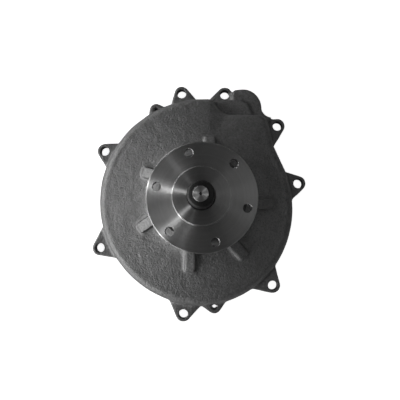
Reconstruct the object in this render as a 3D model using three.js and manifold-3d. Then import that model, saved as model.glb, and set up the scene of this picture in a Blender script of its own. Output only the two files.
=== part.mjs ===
// Belt- or fan-driven engine water pump, lying on its rear mounting face with the shaft axis upright.
// Millimetres, +Z up along the shaft from the mounting face (z = 0) to the shaft nose.
// The origin is the centre of the housing's footprint; everything is drawn about the shaft axis
// and the whole pump is then moved by SHAFT_FROM_ORIGIN.

import * as THREE from 'three';
import { mergeVertices } from 'three/addons/utils/BufferGeometryUtils.js';
import Module from 'manifold-3d';

const wasm = await Module();
wasm.setup();

// ---------------------------------------------------------------- driving dimensions, mm and degrees

const SHAFT_FROM_ORIGIN = [4.18, 0.2];
const ROUND_SEGMENTS = 48;
const CORE_SEGMENTS = 32;
const INNER_SEGMENTS = 24;
const HOLE_SEGMENTS = 16;
const WELD = 1e-4;
const FIT_GAP = 0.15;
const REST_GAP = 0.3;
const DEGREE = Math.PI / 180;

// Housing: a round body that tightens like a volute on one side, then a straight flank and a shoulder.
const BODY_RADIUS = 100.3;
const BODY_TIGHT_RADIUS = 85.6;
const SPIRAL_START = 255;
const SPIRAL_END = 380.6;
const ROUND_SIDE_START = 85;
const FLANK_END = [68.7, 54.4];
const SHOULDER_START = [64.2, 74.5];
const SHOULDER_CORNER = [62.3, 83.3];
const SHOULDER_END = [54.0, 83.4];
const NECK_CORNER = [29.0, 84.0];
const NECK_CURVE = [17.0, 85.4];
const SPIRAL_STEP = 4;
const OUTLINE_POINTS = 80;
const RIM_HEIGHT = 9;
const WALL_HEIGHT = 24;
const WALL_DRAFT = 2.4;
const SHOULDER_RADIUS = 9;
const SHOULDER_STEPS = 3;

// Beside the outlet the wall's top corner is tighter, over this span about this direction.
const TIGHT_CORNER_SHARE = 0.3;
const TIGHT_CORNER_ANGLE = 63;
const TIGHT_CORNER_SPAN = 13;

// The skin from the shoulder up to the bearing boss, as [radius, height].
const FLARE = [[60, 39.2], [52, 41.8], [46, 46], [42, 52], [40, 60.7], [39.2, 61.5]];
const WALL_THICKNESS = 6.5;

// Cavity behind the dome, open at the mounting face.
const CAVITY_WALL = [[-1, 0], [19, 1], [23.5, 3], [26, 7]];
const CAVITY_ROOF = [[52, 33.5], [44, 33], [34, 29.2]];
const SEAL_BOSS_RADIUS = 24.5;
const SEAL_BOSS_BOTTOM = 22.4;

// Bores in line with the shaft.
const SEAL_BORE_RADIUS = 18;
const SEAL_BORE_TOP = 31;
const SHAFT_PASSAGE_RADIUS = 13;
const DRAIN_BOTTOM = 32.2;
const DRAIN_RADIUS = 28.5;
const BEARING_BOTTOM = 36;
const BEARING_TOP = 61;
const BEARING_RADIUS = 26;

// Weep hole: slants up from the drain groove to the outside of the bearing boss.
const WEEP_RADIUS = 2;
const WEEP_ANGLE = 283;
const WEEP_START = [27, 32.5];
const WEEP_END = [50, 55.5];

// Bolt ears on the mounting face: place about the shaft and how far each flank spreads along the body.
const EAR_TIP_RADIUS = 7.4;
const EAR_HOLE_RADIUS = 4.5;
const EAR_ROOT_DEPTH = 9;
const EAR_FILLET_ANGLE = 3;
const EAR_FILLET_SHARE = 0.3;
const BOLT_EARS = [
  { angle: 152.5, reach: 109.7, before: 8.3, after: 8.4 },
  { angle: 101.2, reach: 109.9, before: 8.0, after: 7.6 },
  { angle: 78.7, reach: 108.6, before: 8.0, after: 8.7 },
  { angle: 45.7, reach: 104.5, before: 7.6, after: 7.7 },
  { angle: 11.0, reach: 94.3, before: 9.6, after: 9.4 },
  { angle: -50.3, reach: 104.8, before: 10.4, after: 9.0 },
  { angle: -100.1, reach: 109.9, before: 9.2, after: 9.0 },
  { angle: 203.8, reach: 110.3, before: 10.7, after: 9.3 },
];

// Two smaller ears hold hollow spring dowels.
const DOWEL_EAR_TIP_RADIUS = 6.7;
const DOWEL_HOLE_RADIUS = 2.95;
const DOWEL_OUTER_RADIUS = 2.75;
const DOWEL_INNER_RADIUS = 2;
const DOWEL_SLOT_HALF_ANGLE = 22;
const DOWEL_HEIGHTS = [0.4, 8.4];
const DOWEL_EARS = [
  { name: 'upper_spring_dowel', angle: 117.0, reach: 102.5, before: 6.2, after: 5.8 },
  { name: 'lower_spring_dowel', angle: -84.0, reach: 101.6, before: 7.5, after: 6.8 },
];

// Outlet: a low rounded lobe on the mounting face and a middle step between the lobe and the dome.
const LOBE_CENTRE = [38.8, 92.5];
const LOBE_RADIUS = 18.5;
const LOBE_HEIGHT = 13;
const LOBE_EDGE = [[21, 78], [28.3, 97], [28.8, 108.6], [31, 110.2]];
const LOBE_ARC_END_ANGLE = -4.6;
const LOBE_TAIL_CURVE = [[59.5, 84], [67, 82.7]];
const LOBE_ROOT = [60, 70];
const NECK_HEIGHT = 16;
const NECK_OUTLINE = [[8, 78], [10, 98.6], [38, 99.2], [43.6, 96], [49.5, 82], [40, 70]];
const OUTLET_HEIGHT = 11;
const OUTLET_OUTLINE = [[15, 66], [15, 92.6], [38, 93.2], [44, 86], [46, 66]];
const LOBE_POCKET_RADIUS = 12.5;
const LOBE_POCKET_HEIGHT = 8;

// Gusset ribs from the bearing boss down to the dome; each leans off the radial line.
const RIB_WIDTH = 9.5;
const RIB_LEAN = 7;
const RIB_INNER = 30;
const RIB_TOP = 58;
const RIB_TOP_END = 39;
const RIB_TIP_HEIGHT = 42.5;
const RIB_ROOT_HEIGHT = 35;
const RIBS = [
  { angle: 83, reach: 58.5 },
  { angle: 154.5, reach: 61 },
  { angle: 204.5, reach: 64 },
  { angle: 260, reach: 66.5 },
  { angle: 307, reach: 65 },
  { angle: 357, reach: 65.5 },
];

// Hub flange with a raised boss and a ring of fixing holes.
const FLANGE_RADIUS = 48.2;
const FLANGE_BACK = 64;
const FLANGE_FRONT = 73;
const FLANGE_CHAMFER = 0.9;
const HUB_BOSS_RADIUS = 24.6;
const HUB_BOSS_FRONT = 91.5;
const HUB_BOSS_FILLET = 0.9;
const FILLET_MIDDLE_SHARE = 0.3;
const HUB_BOSS_CHAMFER = 0.7;
const HUB_COLLAR_RADIUS = 19;
const HUB_COLLAR_BOTTOM = 61.8;
const HUB_HOLE_COUNT = 6;
const HUB_HOLE_FIRST_ANGLE = 46.5;
const HUB_HOLE_CIRCLE_RADIUS = 40;
const HUB_HOLE_RADIUS = 3.9;
const HUB_HOLE_CHAMFER = 0.2;

// Shaft, with the ball races turned in it.
const SHAFT_BOTTOM = 2.5;
const SHAFT_TAIL_RADIUS = 8;
const SHAFT_SLINGER_RADIUS = 12;
const SHAFT_RACE_RADIUS = 14.6;
const SHAFT_NOSE_RADIUS = 11.3;
const SHAFT_TOP = 113.2;
const NOSE_CHAMFER_START = 109.4;
const NOSE_FACE_RADIUS = 9.6;
const NOSE_FACE_HEIGHT = 111.2;
const NOSE_PAD_RADIUS = 6.2;

// Bearing: an outer sleeve with two rows of balls running straight on the shaft.
const BALL_RADIUS = 3.6;
const BALL_COUNT = 8;
const BALL_PITCH_RADIUS = 16.9;
const BALL_ROWS = { rear: 42.6, front: 54.4 };
const RACE_GAP = 0.3;
const RACE_SHARES = [-1, -0.5, 0, 0.5, 1];
const SLEEVE_INNER_RADIUS = 19.3;
const CAGE_RADII = [15.6, 18.2];
const CAGE_HALF_HEIGHT = 4.7;
const CAGE_POCKET_GAP = 0.35;
const BEARING_SEAL_THICKNESS = 1.1;

// Impeller.
const IMPELLER_RADIUS = 62;
const IMPELLER_VANES = 7;
const VANE_BOTTOM = 5;
const VANE_TOP = 25.6;
const VANE_THICKNESS = 3.2;
const VANE_INNER_RADIUS = 31;
const VANE_OUTER_RADIUS = 61;
const VANE_SWEEP = 58;
const VANE_STEPS = 7;
const VANE_TIP_GROWTH = 0.6;

// Spring of the shaft seal.
const SPRING_RADIUS = 15;
const SPRING_WIRE_RADIUS = 0.65;
const SPRING_SPAN = [24.6, 28.6];
const SPRING_TURNS = 3;
const SPRING_STEPS_PER_TURN = 12;

// ---------------------------------------------------------------- materials

function finish(color, roughness, metalness) {
  return new THREE.MeshStandardMaterial({ color, roughness, metalness });
}

const castIron = finish(0x5c5e60, 0.75, 0.5);
const turnedSteel = finish(0x8d9093, 0.3, 1.0);
const shaftSteel = finish(0x3a3b3d, 0.4, 0.9);
const bearingSteel = finish(0xb9bcc0, 0.2, 1.0);
const springSteel = finish(0x77797c, 0.35, 1.0);
const cageNylon = finish(0x9a8f78, 0.6, 0.0);
const blackRubber = finish(0x1b1b1c, 0.85, 0.0);
const sealBrass = finish(0xb08d4a, 0.4, 1.0);
const carbonGraphite = finish(0x2c2c2e, 0.5, 0.1);
const ceramicWhite = finish(0xe8e4da, 0.35, 0.0);

// ---------------------------------------------------------------- geometry helpers

const polar = (angle, radius) => [radius * Math.cos(angle * DEGREE), radius * Math.sin(angle * DEGREE)];
const mix = (a, b, share) => a.map((value, i) => value + (b[i] - value) * share);

// A solid of revolution about Z. The profile lists [radius, height] counterclockwise, axis to axis.
function turned(profile, segments = ROUND_SEGMENTS) {
  const points = profile.map(([radius, height]) => new THREE.Vector2(radius, height));
  return new THREE.LatheGeometry(points, segments).rotateX(Math.PI / 2);
}

// A ring of revolution: the profile closes on itself and stays off the axis.
const turnedRing = (profile, segments = INNER_SEGMENTS) => turned([...profile, profile[0]], segments);

function rod(radius, low, high, segments) {
  return turned([[0, low], [radius, low], [radius, high], [0, high]], segments);
}

function prism(shape, low, high, curveSegments = 6) {
  const depth = high - low;
  return new THREE.ExtrudeGeometry(shape, { depth, bevelEnabled: false, curveSegments }).translate(0, 0, low);
}

const polygon = (corners) => new THREE.Shape(corners.map(([x, y]) => new THREE.Vector2(x, y)));

function solidOf(geometry) {
  const bare = geometry.clone();
  bare.deleteAttribute('normal');
  bare.deleteAttribute('uv');
  const welded = mergeVertices(bare, WELD);
  const corners = welded.index.array;
  const triangles = [];
  for (let i = 0; i < corners.length; i += 3) {
    const [a, b, c] = corners.slice(i, i + 3);
    if (a !== b && b !== c && c !== a) triangles.push(a, b, c);
  }
  return new wasm.Manifold(new wasm.Mesh({
    numProp: 3,
    vertProperties: new Float32Array(welded.attributes.position.array),
    triVerts: new Uint32Array(triangles),
  }));
}

function geometryOf(solid) {
  const mesh = solid.getMesh();
  const geometry = new THREE.BufferGeometry();
  geometry.setAttribute('position', new THREE.BufferAttribute(mesh.vertProperties, 3));
  geometry.setIndex(new THREE.BufferAttribute(mesh.triVerts, 1));
  geometry.computeVertexNormals();
  return geometry;
}

const joined = (first, others) => others.reduce((whole, other) => whole.add(solidOf(other)), first);
const cutBy = (first, others) => others.reduce((whole, other) => whole.subtract(solidOf(other)), first);

// A closed skin through rings of points that all go counterclockwise about Z, from the bottom up.
function loft(rings) {
  const count = rings[0].length;
  const positions = rings.flat(2);
  const top = rings.length - 1;
  positions.push(0, 0, rings[0][0][2], 0, 0, rings[top][0][2]);
  const bottomCentre = rings.length * count;
  const index = [];
  for (let i = 0; i < count; i += 1) {
    const next = (i + 1) % count;
    for (let k = 0; k < top; k += 1) {
      const [a, b] = [k * count + i, k * count + next];
      index.push(a, b, b + count, a, b + count, a + count);
    }
    index.push(bottomCentre, next, i);
    index.push(bottomCentre + 1, top * count + i, top * count + next);
  }
  const geometry = new THREE.BufferGeometry();
  geometry.setAttribute('position', new THREE.Float32BufferAttribute(positions, 3));
  geometry.setIndex(index);
  return geometry;
}

// ---------------------------------------------------------------- housing

function spiralRadius(angle) {
  const turn = (angle - SPIRAL_START) / (SPIRAL_END - SPIRAL_START);
  const middle = (BODY_RADIUS + BODY_TIGHT_RADIUS) / 2;
  return middle + (BODY_RADIUS - BODY_TIGHT_RADIUS) / 2 * Math.cos(Math.PI * turn);
}

// The body's outline as evenly spaced points with their angle and radius about the shaft.
function bodyOutline() {
  const path = new THREE.Path();
  path.absarc(0, 0, BODY_RADIUS, ROUND_SIDE_START * DEGREE, SPIRAL_START * DEGREE, false);
  for (let angle = SPIRAL_START + SPIRAL_STEP; angle < SPIRAL_END; angle += SPIRAL_STEP) {
    path.lineTo(...polar(angle, spiralRadius(angle)));
  }
  path.lineTo(...polar(SPIRAL_END, BODY_TIGHT_RADIUS));
  path.lineTo(...FLANK_END);
  path.lineTo(...SHOULDER_START);
  path.quadraticCurveTo(...SHOULDER_CORNER, ...SHOULDER_END);
  path.lineTo(...NECK_CORNER);
  path.quadraticCurveTo(...NECK_CURVE, ...polar(ROUND_SIDE_START, BODY_RADIUS));
  const points = path.getSpacedPoints(OUTLINE_POINTS).slice(0, OUTLINE_POINTS);
  return points.map((point) => ({ angle: point.angle() / DEGREE, radius: point.length() }));
}

const OUTLINE = bodyOutline();

const apart = (a, b) => Math.abs(((a - b) % 360 + 540) % 360 - 180);

function bodyRadius(angle) {
  const nearer = (best, point) => (apart(point.angle, angle) < apart(best.angle, angle) ? point : best);
  return OUTLINE.reduce(nearer).radius;
}

// How much of its full width the wall's rounded top corner keeps in a direction.
function cornerShare(angle) {
  const away = Math.min(1, apart(angle, TIGHT_CORNER_ANGLE) / TIGHT_CORNER_SPAN);
  return TIGHT_CORNER_SHARE + (1 - TIGHT_CORNER_SHARE) * away ** 4;
}

const cornerRing = (height, inset, rounded) => OUTLINE.map(({ angle, radius }) => (
  [...polar(angle, radius - inset - rounded * cornerShare(angle)), height]
));
const insetRing = (height, inset) => cornerRing(height, inset, 0);
const roundRing = (height, radius) => OUTLINE.map(({ angle }) => [...polar(angle, radius), height]);

function domeSolid() {
  const rings = [insetRing(0, 0), insetRing(RIM_HEIGHT, 0), insetRing(WALL_HEIGHT, WALL_DRAFT)];
  for (let step = 1; step <= SHOULDER_STEPS; step += 1) {
    const turn = step / SHOULDER_STEPS * Math.PI / 2;
    const height = WALL_HEIGHT + SHOULDER_RADIUS * Math.sin(turn);
    rings.push(cornerRing(height, WALL_DRAFT, SHOULDER_RADIUS * (1 - Math.cos(turn))));
  }
  FLARE.forEach(([radius, height]) => rings.push(roundRing(height, radius)));
  return solidOf(loft(rings));
}

function cavitySolid() {
  const wall = CAVITY_WALL.map(([height, inset]) => insetRing(height, WALL_THICKNESS + inset));
  const roof = CAVITY_ROOF.map(([radius, height]) => roundRing(height, radius));
  const sealBoss = rod(SEAL_BOSS_RADIUS, SEAL_BOSS_BOTTOM, BEARING_BOTTOM);
  return solidOf(loft([...wall, ...roof])).subtract(solidOf(sealBoss));
}

// The point where a line from outside touches a circle, on the side given by +1 or -1.
function tangentPoint(from, centre, radius, side) {
  const [dx, dy] = [from[0] - centre[0], from[1] - centre[1]];
  const towards = Math.atan2(dy, dx) + side * Math.acos(radius / Math.hypot(dx, dy));
  return [centre[0] + radius * Math.cos(towards), centre[1] + radius * Math.sin(towards)];
}

// An ear: a round tip about its hole, straight flanks, and a small fillet where each meets the body.
function earShape({ angle, reach, before, after }, tipRadius) {
  const centre = polar(angle, reach);
  const [first, last] = [angle - before, angle + after];
  const rootBefore = polar(first, bodyRadius(first));
  const rootAfter = polar(last, bodyRadius(last));
  const tipBefore = tangentPoint(rootBefore, centre, tipRadius, 1);
  const tipAfter = tangentPoint(rootAfter, centre, tipRadius, -1);
  const bodyBefore = first - EAR_FILLET_ANGLE;
  const bodyAfter = last + EAR_FILLET_ANGLE;
  const angleAt = (point) => Math.atan2(point[1] - centre[1], point[0] - centre[0]);
  const shape = new THREE.Shape();
  shape.moveTo(...polar(first, bodyRadius(first) - EAR_ROOT_DEPTH));
  shape.lineTo(...polar(bodyBefore, bodyRadius(bodyBefore) - REST_GAP));
  shape.quadraticCurveTo(...rootBefore, ...mix(rootBefore, tipBefore, EAR_FILLET_SHARE));
  shape.lineTo(...tipBefore);
  shape.absarc(...centre, tipRadius, angleAt(tipBefore), angleAt(tipAfter), false);
  shape.lineTo(...mix(rootAfter, tipAfter, EAR_FILLET_SHARE));
  shape.quadraticCurveTo(...rootAfter, ...polar(bodyAfter, bodyRadius(bodyAfter) - REST_GAP));
  shape.lineTo(...polar(last, bodyRadius(last) - EAR_ROOT_DEPTH));
  return shape;
}

function lobeShape() {
  const shape = new THREE.Shape();
  shape.moveTo(...LOBE_EDGE[0]);
  LOBE_EDGE.slice(1).forEach((corner) => shape.lineTo(...corner));
  shape.absarc(...LOBE_CENTRE, LOBE_RADIUS, Math.PI / 2, LOBE_ARC_END_ANGLE * DEGREE, true);
  shape.quadraticCurveTo(...LOBE_TAIL_CURVE.flat());
  shape.lineTo(...LOBE_ROOT);
  return shape;
}

// A rib is a side profile in the plane of its length, stood upright and turned to its place.
function ribGeometry({ angle, reach }) {
  const profile = polygon([
    [RIB_INNER, RIB_ROOT_HEIGHT],
    [reach, RIB_ROOT_HEIGHT],
    [reach, RIB_TIP_HEIGHT],
    [RIB_TOP_END, RIB_TOP],
    [RIB_INNER, RIB_TOP],
  ]);
  const rib = prism(profile, -RIB_WIDTH / 2, RIB_WIDTH / 2).rotateX(Math.PI / 2);
  rib.translate(-reach, 0, 0).rotateZ((angle + RIB_LEAN) * DEGREE);
  return rib.translate(...polar(angle, reach), 0);
}

function boreGeometry() {
  return turned([
    [0, SEAL_BOSS_BOTTOM - 2],
    [SEAL_BORE_RADIUS, SEAL_BOSS_BOTTOM - 2],
    [SEAL_BORE_RADIUS, SEAL_BORE_TOP],
    [SHAFT_PASSAGE_RADIUS, SEAL_BORE_TOP],
    [SHAFT_PASSAGE_RADIUS, DRAIN_BOTTOM],
    [DRAIN_RADIUS, DRAIN_BOTTOM],
    [DRAIN_RADIUS, BEARING_BOTTOM],
    [BEARING_RADIUS + FIT_GAP, BEARING_BOTTOM],
    [BEARING_RADIUS + FIT_GAP, BEARING_TOP + 5],
    [0, BEARING_TOP + 5],
  ]);
}

function weepGeometry() {
  const [run, rise] = [WEEP_END[0] - WEEP_START[0], WEEP_END[1] - WEEP_START[1]];
  const hole = rod(WEEP_RADIUS, 0, Math.hypot(run, rise), 12);
  hole.rotateY(Math.atan2(run, rise)).translate(WEEP_START[0], 0, WEEP_START[1]);
  return hole.rotateZ(WEEP_ANGLE * DEGREE);
}

function holeAt(angle, reach, radius, low, high) {
  return rod(radius, low, high, HOLE_SEGMENTS).translate(...polar(angle, reach), 0);
}

function housingGeometry() {
  const boltEars = BOLT_EARS.map((ear) => prism(earShape(ear, EAR_TIP_RADIUS), 0, RIM_HEIGHT));
  const dowelEars = DOWEL_EARS.map((ear) => prism(earShape(ear, DOWEL_EAR_TIP_RADIUS), 0, RIM_HEIGHT));
  const lobe = prism(lobeShape(), 0, LOBE_HEIGHT, 10);
  const neck = prism(polygon([...NECK_OUTLINE].reverse()), 0, NECK_HEIGHT);
  const ribs = RIBS.map(ribGeometry);
  const outside = joined(domeSolid(), [...boltEars, ...dowelEars, lobe, neck, ...ribs]);
  const holes = [
    ...BOLT_EARS.map(({ angle, reach }) => holeAt(angle, reach, EAR_HOLE_RADIUS, -1, LOBE_HEIGHT + 1)),
    ...DOWEL_EARS.map(({ angle, reach }) => holeAt(angle, reach, DOWEL_HOLE_RADIUS, -1, RIM_HEIGHT + 1)),
  ];
  const outlet = prism(polygon([...OUTLET_OUTLINE].reverse()), -1, OUTLET_HEIGHT);
  const lobePocket = rod(LOBE_POCKET_RADIUS, -1, LOBE_POCKET_HEIGHT, 24).translate(...LOBE_CENTRE, 0);
  const hollowed = outside.subtract(cavitySolid());
  return geometryOf(cutBy(hollowed, [boreGeometry(), outlet, lobePocket, weepGeometry(), ...holes]));
}

// A hollow spring dowel: a rolled steel sleeve with one open slit.
function dowelGeometry() {
  const slit = DOWEL_SLOT_HALF_ANGLE * DEGREE;
  const shape = new THREE.Shape();
  shape.absarc(0, 0, DOWEL_OUTER_RADIUS, slit, 2 * Math.PI - slit, false);
  shape.absarc(0, 0, DOWEL_INNER_RADIUS, 2 * Math.PI - slit, slit, true);
  return prism(shape, ...DOWEL_HEIGHTS, 7);
}

// ---------------------------------------------------------------- hub, shaft and bearing

function hubGeometry() {
  const bore = SHAFT_NOSE_RADIUS + FIT_GAP;
  const filletMiddle = HUB_BOSS_FILLET * FILLET_MIDDLE_SHARE;
  const disc = turnedRing([
    [bore, HUB_COLLAR_BOTTOM],
    [HUB_COLLAR_RADIUS, HUB_COLLAR_BOTTOM],
    [HUB_COLLAR_RADIUS, FLANGE_BACK],
    [FLANGE_RADIUS - FLANGE_CHAMFER, FLANGE_BACK],
    [FLANGE_RADIUS, FLANGE_BACK + FLANGE_CHAMFER],
    [FLANGE_RADIUS, FLANGE_FRONT - FLANGE_CHAMFER],
    [FLANGE_RADIUS - FLANGE_CHAMFER, FLANGE_FRONT],
    [HUB_BOSS_RADIUS + HUB_BOSS_FILLET, FLANGE_FRONT],
    [HUB_BOSS_RADIUS + filletMiddle, FLANGE_FRONT + filletMiddle],
    [HUB_BOSS_RADIUS, FLANGE_FRONT + HUB_BOSS_FILLET],
    [HUB_BOSS_RADIUS, HUB_BOSS_FRONT - HUB_BOSS_CHAMFER],
    [HUB_BOSS_RADIUS - HUB_BOSS_CHAMFER, HUB_BOSS_FRONT],
    [bore + HUB_BOSS_CHAMFER, HUB_BOSS_FRONT],
    [bore, HUB_BOSS_FRONT - HUB_BOSS_CHAMFER],
  ], ROUND_SEGMENTS);
  const drill = turned([
    [0, FLANGE_BACK - 1],
    [HUB_HOLE_RADIUS, FLANGE_BACK - 1],
    [HUB_HOLE_RADIUS, FLANGE_FRONT - HUB_HOLE_CHAMFER],
    [HUB_HOLE_RADIUS + 2 * HUB_HOLE_CHAMFER, FLANGE_FRONT + HUB_HOLE_CHAMFER],
    [0, FLANGE_FRONT + HUB_HOLE_CHAMFER],
  ], HOLE_SEGMENTS);
  const holes = [];
  for (let i = 0; i < HUB_HOLE_COUNT; i += 1) {
    const angle = HUB_HOLE_FIRST_ANGLE + i * 360 / HUB_HOLE_COUNT;
    holes.push(drill.clone().translate(...polar(angle, HUB_HOLE_CIRCLE_RADIUS), 0));
  }
  return geometryOf(cutBy(solidOf(disc), holes));
}

// Points of a ball race around a row's centre. side is -1 for the shaft's race and +1 for the sleeve's.
function racePoints(rowHeight, surfaceRadius, side) {
  const grooveRadius = BALL_RADIUS + RACE_GAP;
  const reach = Math.acos(Math.abs(surfaceRadius - BALL_PITCH_RADIUS) / grooveRadius);
  return RACE_SHARES.map((share) => [
    BALL_PITCH_RADIUS + side * grooveRadius * Math.cos(share * reach),
    rowHeight + grooveRadius * Math.sin(share * reach),
  ]);
}

function shaftGeometry() {
  return turned([
    [0, SHAFT_BOTTOM],
    [SHAFT_TAIL_RADIUS - 1, SHAFT_BOTTOM],
    [SHAFT_TAIL_RADIUS, SHAFT_BOTTOM + 1],
    [SHAFT_TAIL_RADIUS, SEAL_BORE_TOP - 0.5],
    [SHAFT_SLINGER_RADIUS, SEAL_BORE_TOP + 0.5],
    [SHAFT_SLINGER_RADIUS, BEARING_BOTTOM],
    [SHAFT_RACE_RADIUS, BEARING_BOTTOM],
    ...racePoints(BALL_ROWS.rear, SHAFT_RACE_RADIUS, -1),
    ...racePoints(BALL_ROWS.front, SHAFT_RACE_RADIUS, -1),
    [SHAFT_RACE_RADIUS, BEARING_TOP],
    [SHAFT_NOSE_RADIUS, BEARING_TOP],
    [SHAFT_NOSE_RADIUS, NOSE_CHAMFER_START],
    [NOSE_FACE_RADIUS, NOSE_FACE_HEIGHT],
    [NOSE_PAD_RADIUS + 0.3, NOSE_FACE_HEIGHT + 0.6],
    [NOSE_PAD_RADIUS, SHAFT_TOP],
    [1.2, SHAFT_TOP],
    [0, SHAFT_TOP - 1],
  ], CORE_SEGMENTS);
}

function sleeveGeometry() {
  return turnedRing([
    [SLEEVE_INNER_RADIUS, BEARING_BOTTOM + REST_GAP],
    [BEARING_RADIUS, BEARING_BOTTOM + REST_GAP],
    [BEARING_RADIUS, BEARING_TOP],
    [SLEEVE_INNER_RADIUS, BEARING_TOP],
    ...racePoints(BALL_ROWS.front, SLEEVE_INNER_RADIUS, 1).reverse(),
    ...racePoints(BALL_ROWS.rear, SLEEVE_INNER_RADIUS, 1).reverse(),
  ], CORE_SEGMENTS);
}

const ballPlace = (i) => polar(i * 360 / BALL_COUNT, BALL_PITCH_RADIUS);

function cageGeometry(rowHeight) {
  const [inner, outer] = CAGE_RADII;
  const [low, high] = [rowHeight - CAGE_HALF_HEIGHT, rowHeight + CAGE_HALF_HEIGHT];
  const band = turnedRing([[inner, low], [outer, low], [outer, high], [inner, high]]);
  const pockets = [];
  for (let i = 0; i < BALL_COUNT; i += 1) {
    const pocket = new THREE.SphereGeometry(BALL_RADIUS + CAGE_POCKET_GAP, 8, 6);
    pockets.push(pocket.translate(...ballPlace(i), rowHeight));
  }
  return geometryOf(cutBy(solidOf(band), pockets));
}

function bearingSealGeometry(low) {
  const high = low + BEARING_SEAL_THICKNESS;
  const [inner, outer] = [SHAFT_RACE_RADIUS + REST_GAP + 0.1, SLEEVE_INNER_RADIUS - FIT_GAP];
  return turnedRing([[inner, low], [outer, low], [outer, high], [inner, high]]);
}

// ---------------------------------------------------------------- shaft seal, slinger and impeller

const slingerProfile = [[12.3, 32.8], [17.5, 32.8], [17.5, 33.6], [14, 34.8], [12.3, 34.8]];
const seatBootProfile = [[8.3, 14.4], [13.6, 14.4], [13.6, 18.2], [12.5, 18.2], [12.5, 15.6], [8.3, 15.6]];
const seatProfile = [[8.6, 15.9], [12.2, 15.9], [12.2, 19.8], [8.6, 19.8]];
const carbonProfile = [[9, 20.1], [12.2, 20.1], [12.2, 23.4], [9, 23.4]];
const retainerProfile = [[12.5, 21], [13.4, 21], [13.4, 22.7], [16.2, 22.7], [16.2, 23.4], [12.5, 23.4]];
const bellowsProfile = [
  [9.4, 23.7], [12.8, 23.7], [12.8, 24.9], [11.6, 25.6], [12.8, 26.3], [11.6, 27], [12.8, 27.7], [12.8, 29.2],
  [9.4, 29.2], [9.4, 27.7], [10.2, 27], [9.4, 26.3], [10.2, 25.6], [9.4, 24.9],
];
const sealCupProfile = [
  [17, 21.4], [20.5, 21.4], [20.5, 22.1], [17.85, 22.1], [17.85, 30.6], [9.6, 30.6], [9.6, 29.6], [17, 29.6],
];
const impellerProfile = [
  [8.15, 3], [13.5, 3], [15.5, 5], [15.5, 9.5], [30, 9.5], [32, 11.5], [32, 25], [IMPELLER_RADIUS, 25],
  [IMPELLER_RADIUS, 28], [28.5, 28], [27, 26.5], [27, 14.1], [8.15, 14.1],
];

class Helix extends THREE.Curve {
  getPoint(share, target = new THREE.Vector3()) {
    const turn = share * SPRING_TURNS * 2 * Math.PI;
    const height = SPRING_SPAN[0] + share * (SPRING_SPAN[1] - SPRING_SPAN[0]);
    return target.set(SPRING_RADIUS * Math.cos(turn), SPRING_RADIUS * Math.sin(turn), height);
  }
}

function springGeometry() {
  const wire = new THREE.Shape();
  wire.absarc(0, 0, SPRING_WIRE_RADIUS, 0, 2 * Math.PI, false);
  const steps = SPRING_TURNS * SPRING_STEPS_PER_TURN;
  return new THREE.ExtrudeGeometry(wire, { extrudePath: new Helix(), steps, curveSegments: 3 });
}

// A vane that sweeps backwards and grows thicker as it goes out.
function vaneShape() {
  const middle = (share) => {
    const radius = VANE_INNER_RADIUS + share * (VANE_OUTER_RADIUS - VANE_INNER_RADIUS);
    return { radius, angle: -VANE_SWEEP * share * (2 - share) / 2 };
  };
  const side = (share, sign) => {
    const { radius, angle } = middle(share);
    const halfWidth = VANE_THICKNESS / 2 * (1 + share * VANE_TIP_GROWTH);
    return polar(angle + sign * halfWidth / radius / DEGREE, radius);
  };
  const shares = Array.from({ length: VANE_STEPS + 1 }, (_, i) => i / VANE_STEPS);
  const leading = shares.map((share) => side(share, -1));
  const trailing = shares.reverse().map((share) => side(share, 1));
  return polygon([...leading, ...trailing]);
}

function impellerGeometry() {
  const vanes = [];
  for (let i = 0; i < IMPELLER_VANES; i += 1) {
    vanes.push(prism(vaneShape(), VANE_BOTTOM, VANE_TOP).rotateZ(i * 2 * Math.PI / IMPELLER_VANES));
  }
  return geometryOf(joined(solidOf(turnedRing(impellerProfile, CORE_SEGMENTS)), vanes));
}

// ---------------------------------------------------------------- assembly

const pump = new THREE.Group();
pump.position.set(...SHAFT_FROM_ORIGIN, 0);

function addPiece(name, geometry, material, place = [0, 0], parent = pump) {
  const mesh = new THREE.Mesh(geometry, material.clone());
  mesh.name = name;
  mesh.position.set(...place, 0);
  parent.add(mesh);
}

addPiece('pump_housing', housingGeometry(), castIron);
DOWEL_EARS.forEach(({ name, angle, reach }) => {
  addPiece(name, dowelGeometry(), springSteel, polar(angle, reach));
});

addPiece('hub_flange', hubGeometry(), turnedSteel);
addPiece('drive_shaft', shaftGeometry(), shaftSteel);
addPiece('bearing_sleeve', sleeveGeometry(), bearingSteel);
const frontSealBottom = BEARING_TOP - BEARING_SEAL_THICKNESS - REST_GAP;
addPiece('rear_bearing_seal', bearingSealGeometry(BEARING_BOTTOM + REST_GAP), blackRubber);
addPiece('front_bearing_seal', bearingSealGeometry(frontSealBottom), blackRubber);

Object.entries(BALL_ROWS).forEach(([row, height]) => {
  addPiece(`${row}_ball_cage`, cageGeometry(height), cageNylon);
  for (let i = 0; i < BALL_COUNT; i += 1) {
    const ball = new THREE.SphereGeometry(BALL_RADIUS, 8, 6).rotateX(Math.PI / 2).translate(0, 0, height);
    addPiece(`${row}_ball_${i + 1}`, ball, bearingSteel, ballPlace(i));
  }
});

addPiece('slinger', turnedRing(slingerProfile), blackRubber);
addPiece('seal_cup', turnedRing(sealCupProfile), sealBrass);
addPiece('seal_bellows', turnedRing(bellowsProfile), blackRubber);
addPiece('seal_spring', springGeometry(), springSteel);
addPiece('seal_spring_retainer', turnedRing(retainerProfile), sealBrass);
addPiece('seal_carbon_ring', turnedRing(carbonProfile), carbonGraphite);
addPiece('seal_seat', turnedRing(seatProfile), ceramicWhite);
addPiece('seal_seat_boot', turnedRing(seatBootProfile), blackRubber);
addPiece('impeller', impellerGeometry(), castIron);

export default pump;
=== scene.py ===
import math

import bpy
import numpy as np
from mathutils import Matrix, Vector, noise


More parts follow.
